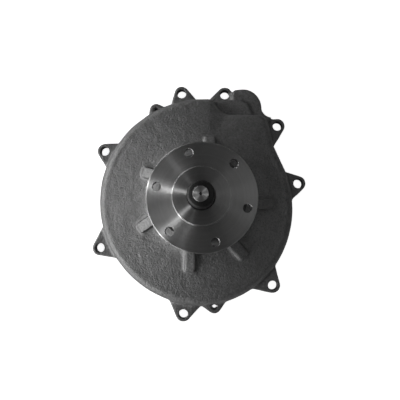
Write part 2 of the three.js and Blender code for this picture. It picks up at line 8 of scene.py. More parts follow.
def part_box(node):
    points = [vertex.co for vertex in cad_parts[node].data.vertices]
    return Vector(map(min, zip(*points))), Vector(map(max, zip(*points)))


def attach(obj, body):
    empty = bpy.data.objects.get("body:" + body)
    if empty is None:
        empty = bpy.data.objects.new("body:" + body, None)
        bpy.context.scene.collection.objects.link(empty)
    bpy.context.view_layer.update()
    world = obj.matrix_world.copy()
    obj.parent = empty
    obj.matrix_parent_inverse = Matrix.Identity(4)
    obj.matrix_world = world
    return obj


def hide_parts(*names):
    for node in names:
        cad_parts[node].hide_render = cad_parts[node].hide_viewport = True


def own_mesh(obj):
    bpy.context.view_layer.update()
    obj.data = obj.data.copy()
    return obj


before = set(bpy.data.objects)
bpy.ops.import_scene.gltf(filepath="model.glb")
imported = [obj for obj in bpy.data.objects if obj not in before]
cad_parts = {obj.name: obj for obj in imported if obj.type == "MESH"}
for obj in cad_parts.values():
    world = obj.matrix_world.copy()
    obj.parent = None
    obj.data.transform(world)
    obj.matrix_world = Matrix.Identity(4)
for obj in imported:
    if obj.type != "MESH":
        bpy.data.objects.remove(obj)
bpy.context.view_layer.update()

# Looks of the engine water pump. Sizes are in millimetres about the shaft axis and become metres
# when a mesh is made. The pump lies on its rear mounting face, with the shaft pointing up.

MM = 0.001
hub_low, hub_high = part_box("hub_flange")
AXIS = Vector(((hub_low.x + hub_high.x) / 2, (hub_low.y + hub_high.y) / 2, 0))


# ---------------------------------------------------------------- camera

CAMERA_PLACE = AXIS + Vector((9.34, -32.09, 514.56)) * MM
CAMERA_AIM = AXIS + Vector((-3.12, 2.02, 9)) * MM
CAMERA_LENS = 46.66
CAMERA_CLIP_START = 0.01


def make_camera():
    camera = bpy.data.objects.new("camera", bpy.data.cameras.new("camera"))
    bpy.context.scene.collection.objects.link(camera)
    camera.data.lens = CAMERA_LENS
    camera.data.clip_start = CAMERA_CLIP_START
    back = (CAMERA_PLACE - CAMERA_AIM).normalized()
    right = Vector((0, 1, 0)).cross(back).normalized()
    up = back.cross(right)
    turn = Matrix((right, up, back)).transposed().to_4x4()
    camera.matrix_world = Matrix.Translation(CAMERA_PLACE) @ turn
    bpy.context.scene.camera = camera


make_camera()


# ---------------------------------------------------------------- mesh helpers

SHARP_ANGLE = math.radians(32)
TURNED_SHARP_ANGLE = math.radians(24)
ON_AXIS = 1e-6

# Sides of a round piece, from small holes to large turned parts.
HOLE_SIDES = 48
BORE_SIDES = 96
ROUND_SIDES = 128
FINE_SIDES = 160
HUB_SIDES = 256


def polar(angle, radius):
    return np.array([radius * math.cos(math.radians(angle)), radius * math.sin(math.radians(angle))])


def mesh_object(name, points, faces, place=None):
    """A new object from points in millimetres about the shaft axis, or about place."""
    mesh = bpy.data.meshes.new(name)
    mesh.from_pydata((np.asarray(points, float) * MM).tolist(), [], faces)
    mesh.validate()
    piece = bpy.data.objects.new(name, mesh)
    piece.location = AXIS if place is None else AXIS + Vector((place[0], place[1], 0)) * MM
    bpy.context.scene.collection.objects.link(piece)
    return piece


def lathe(name, profile, segments, place=None):
    """A solid of revolution. profile lists (radius, height) and closes on itself or on the axis."""
    points, rings, faces = [], [], []
    for radius, height in profile:
        if radius < ON_AXIS:
            rings.append([len(points)] * segments)
            points.append((0, 0, height))
        else:
            rings.append(list(range(len(points), len(points) + segments)))
            for i in range(segments):
                points.append((*polar(i * 360 / segments, radius), height))
    for a, b in zip(rings, rings[1:] + rings[:1]):
        for i in range(segments):
            k = (i + 1) % segments
            corners = [a[i], a[k], b[k], b[i]]
            corners = [c for n, c in enumerate(corners) if c not in corners[:n]]
            if len(corners) > 2:
                faces.append(corners)
    return mesh_object(name, points, faces, place)


def prism(name, outline, low, high, place=None):
    """A closed solid that stands upright on a counterclockwise outline."""
    count = len(outline)
    points = [(x, y, low) for x, y in outline] + [(x, y, high) for x, y in outline]
    faces = [list(range(count))[::-1], list(range(count, 2 * count))]
    faces += [[i, (i + 1) % count, count + (i + 1) % count, count + i] for i in range(count)]
    return mesh_object(name, points, faces, place)


def loft(name, rings):
    """A closed skin through rings of points that go counterclockwise, from the bottom up."""
    count = len(rings[0])
    points = [p for ring in rings for p in ring]
    faces = [list(range(count))[::-1], list(range(len(points) - count, len(points)))]
    for k in range(len(rings) - 1):
        for i in range(count):
            a, b = k * count + i, k * count + (i + 1) % count
            faces.append([a, b, b + count, a + count])
    return mesh_object(name, points, faces)


def remove(pieces):
    for piece in pieces:
        bpy.data.objects.remove(piece)


def evaluated(piece):
    """Puts the result of the piece's modifiers in its mesh."""
    graph = bpy.context.evaluated_depsgraph_get()
    mesh = bpy.data.meshes.new_from_object(piece.evaluated_get(graph))
    piece.modifiers.clear()
    piece.data = mesh


def cut(piece, cutters):
    """Cuts the piece by closed cutters, which are then removed."""
    for cutter in cutters:
        modifier = piece.modifiers.new("cut", "BOOLEAN")
        modifier.operation = "DIFFERENCE"
        modifier.solver = "MANIFOLD"
        modifier.object = cutter
    evaluated(piece)
    remove(cutters)


def join(first, others):
    with bpy.context.temp_override(active_object=first, selected_editable_objects=[first, *others]):
        bpy.ops.object.join()


def shade(piece, angle=SHARP_ANGLE):
    """Smooth shading, with edges sharper than the angle left crisp."""
    piece.data.polygons.foreach_set("use_smooth", [True] * len(piece.data.polygons))
    piece.data.set_sharp_from_angle(angle=angle)


def flip_outward(piece):
    """Turns the faces outward where the solid was drawn inside out."""
    mesh = piece.data
    mesh.calc_loop_triangles()
    points = np.array([v.co for v in mesh.vertices], float)
    corners = np.array([t.vertices for t in mesh.loop_triangles])
    a, b, c = (points[corners[:, i]] for i in range(3))
    if np.einsum("ij,ij->i", a, np.cross(b, c)).sum() < 0:
        mesh.flip_normals()
    return piece


# ---------------------------------------------------------------- material helpers


NOISE_SPAN = (0.3, 0.7)
STAIN_ROUGHNESS = 0.03
BAND_ROUGHNESS = 0.01
GRAIN_ROUGHNESS = 0.05


class Shader:
    """A material's nodes, made in reading order."""

    def __init__(self, name):
        self.material = bpy.data.materials.new(name)
        self.material.use_nodes = True
        self.nodes = self.material.node_tree.nodes
        self.links = self.material.node_tree.links
        self.surface = self.nodes["Principled BSDF"]
        self.place = self.node("ShaderNodeTexCoord").outputs["Object"]

    def node(self, kind, inputs=None, **settings):
        node = self.nodes.new(kind)
        for key, value in settings.items():
            setattr(node, key, value)
        for key, value in (inputs or {}).items():
            self.set(node, key, value)
        return node

    def set(self, node, key, value):
        if isinstance(value, bpy.types.NodeSocket):
            self.links.new(value, node.inputs[key])
        else:
            node.inputs[key].default_value = value

    def noise(self, scale, detail=3.0, roughness=0.5, place=None):
        inputs = {"Vector": place or self.place, "Scale": scale, "Detail": detail, "Roughness": roughness}
        return self.node("ShaderNodeTexNoise", inputs).outputs["Fac"]

    def ramp(self, value, low, high, start, end):
        inputs = {"Value": value, "From Min": low, "From Max": high, "To Min": start, "To Max": end}
        return self.node("ShaderNodeMapRange", inputs).outputs["Result"]

    def spread(self, value, start, end):
        """Maps the usual span of a noise onto the span from start to end."""
        return self.ramp(value, *NOISE_SPAN, start, end)

    def math(self, operation, a, b):
        return self.node("ShaderNodeMath", {0: a, 1: b}, operation=operation).outputs[0]

    def grey(self, value, tint=(1.0, 1.0, 1.0)):
        """A colour whose brightness follows value."""
        colour = self.node("ShaderNodeCombineColor")
        for channel, share in zip(("Red", "Green", "Blue"), tint):
            scaled = value if share == 1.0 else self.math("MULTIPLY", value, share)
            self.set(colour, channel, scaled)
        return colour.outputs["Color"]

    def bump(self, height, distance, strength=1.0, normal=None):
        inputs = {"Height": height, "Distance": distance * MM, "Strength": strength}
        if normal is not None:
            inputs["Normal"] = normal
        return self.node("ShaderNodeBump", inputs).outputs["Normal"]

    def finish(self, **values):
        for key, value in values.items():
            self.set(self.surface, key.replace("_", " "), value)
        return self.material


def sand_cast(name, brightness, metallic):
    """Sand-cast iron: lumpy skin, sand grain and dark pits."""
    s = Shader(name)
    lumps = s.noise(110, 3, 0.55)
    grain = s.noise(560, 2, 0.6)
    fine = s.noise(1900, 2, 0.5)
    pits = s.node("ShaderNodeTexVoronoi", {"Vector": s.place, "Scale": 520}).outputs["Distance"]
    pit_depth = s.ramp(pits, 0.05, 0.32, 0.0, 1.0)
    mottle = s.math("ADD", s.math("MULTIPLY", grain, 0.7), s.math("MULTIPLY", lumps, 0.3))
    tone = s.math("MULTIPLY", s.spread(mottle, 0.72, 1.28), s.ramp(pit_depth, 0, 1, 0.75, 1.0))
    normal = s.bump(lumps, 0.5)
    normal = s.bump(grain, 0.5, normal=normal)
    normal = s.bump(pit_depth, 0.16, normal=normal)
    normal = s.bump(fine, 0.08, normal=normal)
    return s.finish(
        Base_Color=s.grey(s.math("MULTIPLY", tone, brightness)),
        Metallic=metallic,
        Roughness=s.spread(grain, 0.44, 0.6),
        Normal=normal,
    )


def turned_metal(name, brightness, roughness, anisotropy, groove=0.012, tint=(1.0, 1.0, 1.0)):
    """Lathe-turned metal: grooves round the axis, which draw the highlights out into rays."""
    s = Shader(name)
    flatten = {0: s.place, 1: (1.0, 1.0, 0.0)}
    flat = s.node("ShaderNodeVectorMath", flatten, operation="MULTIPLY").outputs[0]
    radius = s.node("ShaderNodeVectorMath", {0: flat}, operation="LENGTH").outputs["Value"]
    height = s.node("ShaderNodeSeparateXYZ", {0: s.place}).outputs["Z"]
    along = s.math("ADD", radius, height)
    fine = s.node("ShaderNodeTexNoise", {"W": along, "Scale": 2600, "Detail": 2}, noise_dimensions="1D")
    bands = s.node("ShaderNodeTexNoise", {"W": along, "Scale": 330, "Detail": 3}, noise_dimensions="1D")
    stains = s.noise(70, 4, 0.6)
    tone = s.math("MULTIPLY", s.spread(bands.outputs["Fac"], 0.96, 1.03), brightness)
    tone = s.math("MULTIPLY", tone, s.spread(stains, 0.93, 1.05))
    band_rough = s.spread(bands.outputs["Fac"], -BAND_ROUGHNESS, BAND_ROUGHNESS)
    stain_rough = s.spread(stains, roughness - STAIN_ROUGHNESS, roughness + STAIN_ROUGHNESS)
    rough = s.math("ADD", band_rough, stain_rough)
    tangent = s.node("ShaderNodeTangent", direction_type="RADIAL", axis="Z").outputs["Tangent"]
    return s.finish(
        Base_Color=s.grey(tone, tint),
        Metallic=1.0,
        Roughness=rough,
        Anisotropic=anisotropy,
        Anisotropic_Rotation=0.25,
        Tangent=tangent,
        Normal=s.bump(fine.outputs["Fac"], groove),
    )


def moulded(name, tint, roughness, grain_scale, depth, **values):
    """Rubber, plastic, graphite or ceramic: a fine moulded or lapped grain and a slight mottle."""
    s = Shader(name)
    mottle = s.noise(90, 4, 0.6)
    grain = s.noise(grain_scale, 3, 0.6)
    tone = s.math("ADD", s.spread(mottle, 0.86, 1.08), s.spread(grain, -0.07, 0.07))
    return s.finish(
        Base_Color=s.grey(tone, tint),
        Roughness=s.spread(grain, roughness - GRAIN_ROUGHNESS, roughness + GRAIN_ROUGHNESS),
        Normal=s.bump(grain, depth),
        **values,
    )


CAST_IRON = sand_cast("cast_iron", 0.21, 0.75)
CAST_WHEEL = sand_cast("cast_wheel", 0.24, 0.6)
TURNED_STEEL = turned_metal("turned_steel", 0.5, 0.4, 1.0)
SHAFT_STEEL = turned_metal("shaft_steel", 0.05, 0.5, 0.3)
BRIGHT_FACE = turned_metal("faced_steel", 0.55, 0.4, 0.9)
BEARING_STEEL = turned_metal("ground_steel", 0.62, 0.2, 0.4, 0.004)
SPRING_STEEL = turned_metal("spring_steel", 0.3, 0.34, 0.3)
SEAL_BRASS = turned_metal("pressed_brass", 1.0, 0.32, 0.3, 0.006, (0.62, 0.44, 0.19))
BLACK_RUBBER = moulded("black_rubber", (0.022, 0.022, 0.022), 0.7, 900, 0.05)
CAGE_NYLON = moulded("cage_nylon", (0.5, 0.43, 0.29), 0.5, 700, 0.03, Subsurface_Weight=0.05)
GRAPHITE = moulded("graphite", (0.045, 0.045, 0.047), 0.38, 1500, 0.01, Metallic=0.2)
CERAMIC = moulded("ceramic", (0.8, 0.78, 0.72), 0.24, 1200, 0.006, Coat_Weight=0.2)


def dress(piece, material, slot, body, *nodes):
    """Gives a finished piece its material and its body, and hides the nodes that it stands for; the slot is
    not used.
    """
    piece.data.materials.clear()
    piece.data.materials.append(material)
    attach(piece, body)
    if nodes:
        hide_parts(*nodes)
    return piece


# ---------------------------------------------------------------- housing

BODY_RADIUS = 100.3
BODY_TIGHT_RADIUS = 85.6
SPIRAL_START = 255
SPIRAL_END = 380.6
ROUND_SIDE_START = 85
FLANK_END = (68.7, 54.4)
SHOULDER_START = (64.2, 74.5)
SHOULDER_CORNER = (62.3, 83.3)
SHOULDER_END = (54.0, 83.4)
NECK_CORNER = (29.0, 84.0)
NECK_CURVE = (17.0, 85.4)
TIGHT_CORNER_SHARE = 0.3
TIGHT_CORNER_ANGLE = 63
TIGHT_CORNER_SPAN = 13
RIM_HEIGHT = 9
WALL_HEIGHT = 24
WALL_DRAFT = 2.4
SHOULDER_RADIUS = 9
FLARE = [(60, 39.2), (52, 41.8), (46, 46), (42, 52), (40, 60.7), (39.2, 61.5)]
WALL_THICKNESS = 6.5
BELOW = -5

HOLE_CHAMFER = 0.35
EAR_TIP_RADIUS = 7.4
EAR_HOLE_RADIUS = 4.5
BOLT_EARS = [
    (152.5, 109.7, 8.3, 8.4), (101.2, 109.9, 8.0, 7.6), (78.7, 108.6, 8.0, 8.7), (45.7, 104.5, 7.6, 7.7),
    (11.0, 94.3, 9.6, 9.4), (-50.3, 104.8, 10.4, 9.0), (-100.1, 109.9, 9.2, 9.0), (203.8, 110.3, 10.7, 9.3),
]
DOWEL_EAR_TIP_RADIUS = 6.7
DOWEL_HOLE_RADIUS = 2.95
SPOT_FACE_RADIUS = 4.6
SPOT_FACE_TOP = 40
DOWEL_EARS = {"upper_spring_dowel": (117.0, 102.5, 6.2, 5.8), "lower_spring_dowel": (-84.0, 101.6, 7.5, 6.8)}

LOBE_CENTRE = (38.8, 92.5)
LOBE_RADIUS = 18.5
LOBE_HEIGHT = 13
LOBE_EDGE = [(21, 78), (28.3, 97), (28.8, 108.6), (31, 110.2)]
LOBE_ARC_END_ANGLE = -4.6
LOBE_TAIL_CURVE = [(59.5, 84), (67, 82.7)]
LOBE_ROOT = (60, 70)
LOBE_POCKET_RADIUS = 12.5
LOBE_POCKET_HEIGHT = 8
NECK_HEIGHT = 16
NECK_OUTLINE = [(8, 78), (40, 70), (49.5, 82), (43.6, 96), (38, 99.2), (10, 98.6)]
OUTLET_OUTLINE = [(15, 66), (46, 66), (44, 86), (38, 93.2), (15, 92.6)]
OUTLET_HEIGHT = 11

RIB_WIDTH = 9.5
RIB_LEAN = 7
RIBS = [(83, 58.5), (154.5, 61), (204.5, 64), (260, 66.5), (307, 65), (357, 65.5)]
RIB_SIDE = [(30, 35), (None, 35), (None, 42.5), (39, 58), (30, 58)]

CAST_VOXEL = 0.95
FILLET_ROUNDS = 22
CORNER_SHARE = 0.5
EDGE_SHARE = 0.25
EDGE_ROUNDS = 4
LATE_EDGE_SHARE = 0.03
WAVES = [(14, 0.22), (4.5, 0.12)]


def quadratic(start, corner, end, steps=12):
    shares = np.linspace(0, 1, steps + 1)[1:, None]
    a, b, c = (np.array(p, float) for p in (start, corner, end))
    return list((1 - shares) ** 2 * a + 2 * shares * (1 - shares) * b + shares ** 2 * c)


def spaced(points, count):
    """Points at even distances along a closed line."""
    line = np.array([*points, points[0]], float)
    run = np.concatenate([[0], np.cumsum(np.linalg.norm(np.diff(line, axis=0), axis=1))])
    wanted = np.linspace(0, run[-1], count, endpoint=False)
    return np.stack([np.interp(wanted, run, line[:, i]) for i in range(2)], axis=1)


def body_outline(count=720):
    """The housing's outline: round on one side, tightening like a volute, then a flank and a shoulder."""
    middle, swing = (BODY_RADIUS + BODY_TIGHT_RADIUS) / 2, (BODY_RADIUS - BODY_TIGHT_RADIUS) / 2
    path = [polar(a, BODY_RADIUS) for a in range(ROUND_SIDE_START, SPIRAL_START)]
    for angle in range(SPIRAL_START, int(SPIRAL_END) + 1):
        turn = (angle - SPIRAL_START) / (SPIRAL_END - SPIRAL_START)
        path.append(polar(angle, middle + swing * math.cos(math.pi * turn)))
    path += [FLANK_END, SHOULDER_START]
    path += quadratic(SHOULDER_START, SHOULDER_CORNER, SHOULDER_END)
    path += [NECK_CORNER]
    path += quadratic(NECK_CORNER, NECK_CURVE, polar(ROUND_SIDE_START, BODY_RADIUS))[:-1]
    return spaced(path, count)


OUTLINE = body_outline()
OUTLINE_RADII = np.linalg.norm(OUTLINE, axis=1)
OUTLINE_DIRECTIONS = OUTLINE / OUTLINE_RADII[:, None]


def body_point(angle, inset=0.0):
    nearest = np.argmax(OUTLINE_DIRECTIONS @ polar(angle, 1))
    return polar(angle, OUTLINE_RADII[nearest] - inset)


def inset_ring(height, inset):
    return [(*p, height) for p in OUTLINE_DIRECTIONS * (OUTLINE_RADII - inset)[:, None]]


def corner_ring(height, inset, rounded):
    """A ring of the wall's rounded top corner, which is tighter beside the outlet."""
    turns = np.degrees(np.arctan2(OUTLINE[:, 1], OUTLINE[:, 0]))
    away = np.clip(np.abs((turns - TIGHT_CORNER_ANGLE + 180) % 360 - 180) / TIGHT_CORNER_SPAN, 0, 1)
    share = TIGHT_CORNER_SHARE + (1 - TIGHT_CORNER_SHARE) * away ** 4
    return [(*p, height) for p in OUTLINE_DIRECTIONS * (OUTLINE_RADII - inset - rounded * share)[:, None]]


def round_ring(height, radius):
    return [(*p, height) for p in OUTLINE_DIRECTIONS * radius]


def smooth_line(points, steps):
    """A Catmull-Rom line through the points."""
    knots = np.array([points[0], *points, points[-1]], float)
    line = []
    for a, b, c, d in zip(knots, knots[1:], knots[2:], knots[3:]):
        for t in np.arange(steps) / steps:
            square, cube = 2 * a - 5 * b + 4 * c - d, 3 * b - a - 3 * c + d
            line.append(0.5 * (2 * b + (c - a) * t + square * t ** 2 + cube * t ** 3))
    return [*line, knots[-1]]


def dome():
    rings = [inset_ring(BELOW, 0), inset_ring(RIM_HEIGHT, 0), inset_ring(WALL_HEIGHT, WALL_DRAFT)]
    for turn in np.linspace(0, math.pi / 2, 9)[1:]:
        height = WALL_HEIGHT + SHOULDER_RADIUS * math.sin(turn)
        rings.append(corner_ring(height, WALL_DRAFT, SHOULDER_RADIUS * (1 - math.cos(turn))))
    rings += [round_ring(height, radius) for radius, height in smooth_line(FLARE[:-1], 5)]
    rings.append(round_ring(FLARE[-1][1], FLARE[-1][0]))
    return loft("dome", rings)


def tangent_point(start, centre, radius, side):
    away = np.asarray(start) - centre
    turn = math.atan2(away[1], away[0]) + side * math.acos(radius / np.linalg.norm(away))
    return centre + radius * np.array([math.cos(turn), math.sin(turn)])


def ear_outline(angle, reach, before, after, tip_radius):
    """A round tip about its hole, with straight flanks that run to the body."""
    centre = polar(angle, reach)
    first, last = angle - before, angle + after
    start, end = body_point(first), body_point(last)
    touch, leave = tangent_point(start, centre, tip_radius, 1), tangent_point(end, centre, tip_radius, -1)
    turns = [math.degrees(math.atan2(*(p - centre)[::-1])) for p in (touch, leave)]
    turns[1] += 360 * (turns[1] < turns[0])
    tip = [centre + polar(turn, tip_radius) for turn in np.linspace(*turns, 24)]
    return [body_point(first, 9), start, *tip, end, body_point(last, 9)]


def lobe_outline():
    centre = np.array(LOBE_CENTRE)
    arc = [centre + polar(turn, LOBE_RADIUS) for turn in np.linspace(90, LOBE_ARC_END_ANGLE, 32)]
    line = [*LOBE_EDGE, *arc, *quadratic(arc[-1], *LOBE_TAIL_CURVE), LOBE_ROOT]
    return line[::-1]


def rib(angle, reach):
    """A gusset: its side profile, as thick as the rib, turned to its place."""
    side = [(reach if x is None else x, z) for x, z in RIB_SIDE]
    count = len(side)
    points = [(x - reach, y, z) for y in (-RIB_WIDTH / 2, RIB_WIDTH / 2) for x, z in side]
    turn = math.radians(angle + RIB_LEAN)
    along, across = np.array([math.cos(turn), math.sin(turn)]), np.array([-math.sin(turn), math.cos(turn)])
    tip = polar(angle, reach)
    points = [(*(tip + x * along + y * across), z) for x, y, z in points]
    faces = [list(range(count)), list(range(count, 2 * count))[::-1]]
    faces += [[(i + 1) % count, i, count + i, count + (i + 1) % count] for i in range(count)]
    return mesh_object("rib", points, faces)


def fillet(mesh, rounds):
    """Fills inside corners as in a casting, and takes only the edge off outside ones."""
    points = np.zeros(len(mesh.vertices) * 3)
    mesh.vertices.foreach_get("co", points)
    points = points.reshape(-1, 3)
    edges = np.zeros(len(mesh.edges) * 2, int)
    mesh.edges.foreach_get("vertices", edges)
    a, b = edges.reshape(-1, 2).T
    ends, others = np.concatenate([a, b]), np.concatenate([b, a])
    degree = np.bincount(ends, minlength=len(points))
    normals = np.zeros(len(points) * 3)
    for turn in range(rounds):
        mesh.vertex_normals.foreach_get("vector", normals)
        near = np.stack([np.bincount(ends, points[others, i], len(points)) for i in range(3)], axis=1)
        move = near / degree[:, None] - points
        outward = np.einsum("ij,ij->i", move, normals.reshape(-1, 3))
        edge_share = EDGE_SHARE if turn < EDGE_ROUNDS else LATE_EDGE_SHARE
        share = np.where(outward > 0, CORNER_SHARE, edge_share)
        points += move * share[:, None]
        mesh.vertices.foreach_set("co", points.ravel())
        mesh.update()


def cast_skin(mesh):
    """Gives the skin the slight waviness of a sand mould."""
    points = np.zeros(len(mesh.vertices) * 3)
    normals = np.zeros(len(mesh.vertices) * 3)
    mesh.vertices.foreach_get("co", points)
    mesh.vertex_normals.foreach_get("vector", normals)
    points, normals = points.reshape(-1, 3), normals.reshape(-1, 3)
    heights = np.array([
        sum(height * noise.noise(Vector(p) / (length * MM)) for length, height in WAVES) for p in points
    ])
    points += normals * (heights * MM)[:, None]
    mesh.vertices.foreach_set("co", points.ravel())
    mesh.update()


def rod(name, radius, low, high, sides, place=None):
    return lathe(name, [(0, low), (radius, low), (radius, high), (0, high)], sides, place)


def hole_cutter(angle, reach, radius, top):
    mouth = top + 3 * HOLE_CHAMFER
    profile = [
        (0, BELOW - 1), (radius, BELOW - 1), (radius, top - HOLE_CHAMFER),
        (radius + 4 * HOLE_CHAMFER, mouth), (0, mouth),
    ]
    return lathe("hole", profile, HOLE_SIDES, polar(angle, reach))


def housing():
    ears = [prism("ear", ear_outline(*ear, EAR_TIP_RADIUS), BELOW, RIM_HEIGHT) for ear in BOLT_EARS]
    for ear in DOWEL_EARS.values():
        ears.append(prism("ear", ear_outline(*ear, DOWEL_EAR_TIP_RADIUS), BELOW, RIM_HEIGHT))
    lobe = prism("lobe", lobe_outline(), BELOW, LOBE_HEIGHT)
    neck = prism("neck", NECK_OUTLINE, BELOW, NECK_HEIGHT)
    body = dome()
    join(body, [*ears, lobe, neck, *[rib(*place) for place in RIBS]])
    remesh = body.modifiers.new("remesh", "REMESH")
    remesh.mode = "VOXEL"
    remesh.voxel_size = CAST_VOXEL * MM
    evaluated(body)
    fillet(body.data, FILLET_ROUNDS)
    cast_skin(body.data)
    body.name = "cast_housing"
    cut(body, housing_cutters())
    shade(body)
    dress(body, CAST_IRON, "cast_iron_housing", "housing", "pump_housing")


CAVITY_WALL = [(BELOW - 1, 0), (19, 1), (23.5, 3), (26, 7)]
CAVITY_ROOF = [(52, 33.5), (44, 33), (34, 29.2)]
SEAL_BOSS_RADIUS = 24.5
SEAL_BOSS_BOTTOM = 22.4
SEAL_BOSS_TOP = 40
WEEP_RADIUS = 2
WEEP_LENGTH = 33
WEEP_ANGLE = 283
WEEP_START = (27, 32.5)
WEEP_TILT = 45
BLANK_HALF_SIZE = 150
BORES = [
    (0, 18), (18, 18), (18, 31), (13, 31), (13, 32.2), (28.5, 32.2), (28.5, 36), (26.15, 36), (26.15, 60.2),
    (28.2, 62.2), (28.2, 66), (0, 66),
]


def cavity_cutter():
    rings = [inset_ring(height, WALL_THICKNESS + inset) for height, inset in CAVITY_WALL]
    rings += [round_ring(height, radius) for radius, height in CAVITY_ROOF]
    cavity = loft("cavity", rings)
    boss = rod("seal_boss", SEAL_BOSS_RADIUS, SEAL_BOSS_BOTTOM, SEAL_BOSS_TOP, BORE_SIDES)
    cut(cavity, [flip_outward(boss)])
    return cavity


def weep_cutter():
    """The weep hole, which slants up from the drain groove to the outside of the bearing boss."""
    hole = rod("weep", WEEP_RADIUS, 0, WEEP_LENGTH, 32)
    place = Matrix.Translation(Vector((WEEP_START[0], 0, WEEP_START[1])) * MM)
    tilt = Matrix.Rotation(math.radians(WEEP_TILT), 4, "Y")
    hole.data.transform(Matrix.Rotation(math.radians(WEEP_ANGLE), 4, "Z") @ place @ tilt)
    return hole


def housing_cutters():
    """What is machined or cored out: the rear face, the cavity, the bores and every hole."""
    half = BLANK_HALF_SIZE
    square = [(-half, -half), (half, -half), (half, half), (-half, half)]
    cutters = [prism("below", square, BELOW - 10, 0), cavity_cutter(), lathe("bores", BORES, ROUND_SIDES)]
    cutters += [prism("outlet", OUTLET_OUTLINE, BELOW - 1, OUTLET_HEIGHT), weep_cutter()]
    cutters += [rod("pocket", LOBE_POCKET_RADIUS, BELOW - 1, LOBE_POCKET_HEIGHT, 64, LOBE_CENTRE)]
    cutters += [hole_cutter(ear[0], ear[1], EAR_HOLE_RADIUS, RIM_HEIGHT) for ear in BOLT_EARS]
    for angle, reach, *_ in DOWEL_EARS.values():
        cutters.append(hole_cutter(angle, reach, DOWEL_HOLE_RADIUS, RIM_HEIGHT))
    for angle, reach, *_ in DOWEL_EARS.values():
        place = polar(angle, reach)
        cutters.append(rod("spot_face", SPOT_FACE_RADIUS, RIM_HEIGHT, SPOT_FACE_TOP, HOLE_SIDES, place))
    return [flip_outward(cutter) for cutter in cutters]


housing()


# ---------------------------------------------------------------- hub and shaft

FLANGE_RADIUS = 48.2
FLANGE_BACK = 64
FLANGE_FRONT = 73
HUB_BOSS_RADIUS = 24.6
HUB_BOSS_FRONT = 91.5
FLANGE_CHAMFER = 0.9
HUB_BOSS_FILLET = 0.9
HUB_BOSS_CHAMFER = 0.7
HUB_COLLAR_RADIUS = 19
HUB_COLLAR_BOTTOM = 61.8
HUB_BORE = 11.45
HUB_HOLE_FIRST_ANGLE = 46.5
HUB_HOLE_CIRCLE_RADIUS = 40
HUB_HOLES = [(HUB_HOLE_FIRST_ANGLE + 60 * i, HUB_HOLE_CIRCLE_RADIUS) for i in range(6)]
HUB_HOLE_RADIUS = 3.9
HUB_HOLE_CHAMFER = 0.2
DRILL_START = 60
BRIGHT_END_HEIGHT = 112.9


def hub():
    fillet_arc = [
        (
            HUB_BOSS_RADIUS + HUB_BOSS_FILLET - HUB_BOSS_FILLET * math.sin(turn),
            FLANGE_FRONT + HUB_BOSS_FILLET - HUB_BOSS_FILLET * math.cos(turn),
        )
        for turn in np.linspace(0, math.pi / 2, 5)
    ]
    profile = [
        (HUB_BORE, HUB_COLLAR_BOTTOM), (HUB_COLLAR_RADIUS - 0.4, HUB_COLLAR_BOTTOM),
        (HUB_COLLAR_RADIUS, HUB_COLLAR_BOTTOM + 0.4), (HUB_COLLAR_RADIUS, FLANGE_BACK - 0.4),
        (HUB_COLLAR_RADIUS + 0.4, FLANGE_BACK),
        (FLANGE_RADIUS - FLANGE_CHAMFER, FLANGE_BACK), (FLANGE_RADIUS, FLANGE_BACK + FLANGE_CHAMFER),
        (FLANGE_RADIUS, FLANGE_FRONT - FLANGE_CHAMFER), (FLANGE_RADIUS - FLANGE_CHAMFER, FLANGE_FRONT),
        *fillet_arc,
        (HUB_BOSS_RADIUS, HUB_BOSS_FRONT - HUB_BOSS_CHAMFER),
        (HUB_BOSS_RADIUS - HUB_BOSS_CHAMFER, HUB_BOSS_FRONT),
        (HUB_BORE + HUB_BOSS_CHAMFER, HUB_BOSS_FRONT), (HUB_BORE, HUB_BOSS_FRONT - HUB_BOSS_CHAMFER),
    ]
    flange = flip_outward(lathe("hub", profile, HUB_SIDES))
    mouth = FLANGE_FRONT + HUB_HOLE_CHAMFER
    drill = [
        (0, DRILL_START), (HUB_HOLE_RADIUS, DRILL_START), (HUB_HOLE_RADIUS, FLANGE_FRONT - HUB_HOLE_CHAMFER),
        (HUB_HOLE_RADIUS + 2 * HUB_HOLE_CHAMFER, mouth), (0, mouth),
    ]
    cut(flange, [flip_outward(lathe("drill", drill, HOLE_SIDES, polar(*place))) for place in HUB_HOLES])
    shade(flange)
    dress(flange, TURNED_STEEL, "turned_steel", "rotor", "hub_flange")


def shaft():
    profile = [
        *SHAFT_TAIL,
        *race(BALL_ROWS["rear"], SHAFT_RACE_RADIUS, -1), *race(BALL_ROWS["front"], SHAFT_RACE_RADIUS, -1),
        *SHAFT_NOSE,
    ]
    piece = flip_outward(lathe("shaft", profile, ROUND_SIDES))
    shade(piece, TURNED_SHARP_ANGLE)
    dress(piece, SHAFT_STEEL, "dark_shaft_steel", "rotor", "drive_shaft")
    piece.data.materials.append(BRIGHT_FACE)
    for face in piece.data.polygons:
        if face.center.z > BRIGHT_END_HEIGHT * MM:
            face.material_index = 1


hub()


# ---------------------------------------------------------------- dowels

DOWEL_RADII = (2.0, 2.75)
DOWEL_SLOT_HALF_ANGLE = 22
DOWEL_HEIGHTS = (0.4, 8.4)


def dowel(node, place):
    """A rolled spring sleeve with one open slit and chamfered ends."""
    inner, outer = DOWEL_RADII
    turns = np.linspace(DOWEL_SLOT_HALF_ANGLE, 360 - DOWEL_SLOT_HALF_ANGLE, 49)
    outline = [polar(turn, outer) for turn in turns] + [polar(turn, inner) for turn in turns[::-1]]
    piece = prism(f"{node}_sleeve", outline, *DOWEL_HEIGHTS, place)
    bevel = piece.modifiers.new("bevel", "BEVEL")
    bevel.width, bevel.segments, bevel.angle_limit = 0.18 * MM, 2, math.radians(60)
    evaluated(piece)
    shade(piece)
    dress(piece, SPRING_STEEL, "spring_steel", "housing", node)


for dowel_node, dowel_ear in DOWEL_EARS.items():
    dowel(dowel_node, polar(dowel_ear[0], dowel_ear[1]))


# ---------------------------------------------------------------- bearing

